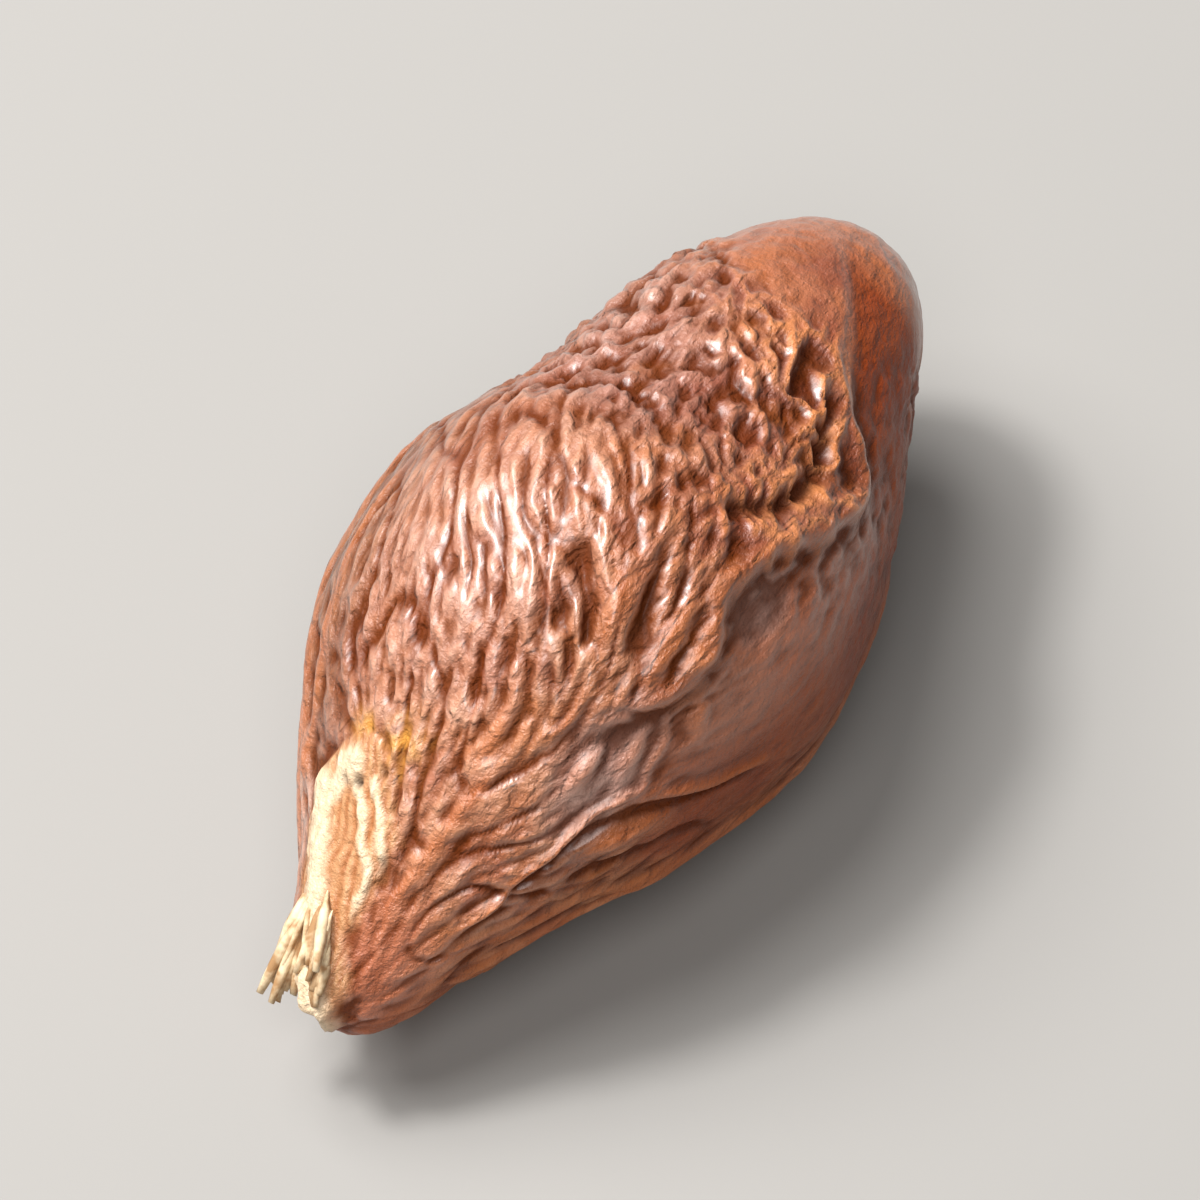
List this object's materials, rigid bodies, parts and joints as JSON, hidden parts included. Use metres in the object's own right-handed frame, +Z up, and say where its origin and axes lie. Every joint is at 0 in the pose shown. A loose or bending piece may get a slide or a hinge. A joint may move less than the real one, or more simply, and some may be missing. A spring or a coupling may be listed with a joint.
{
  "type": "malva nut",
  "caption": "Dried malva nut: a shrivelled, spindle-shaped brown seed with a pale stalk scar at its narrow end, lying on a small flat spot on its belly.",
  "frame": {"origin": "middle of the footprint, on the surface that the nut lies on", "axes": "+X along the nut from the stalk end to the blunt end, +Z up"},
  "size_m": [0.027, 0.013, 0.0131],
  "materials": {
    "seed_coat": "satin"
  },
  "bodies": {
    "root": {"malva_nut": "seed_coat"}
  },
  "joints": []
}
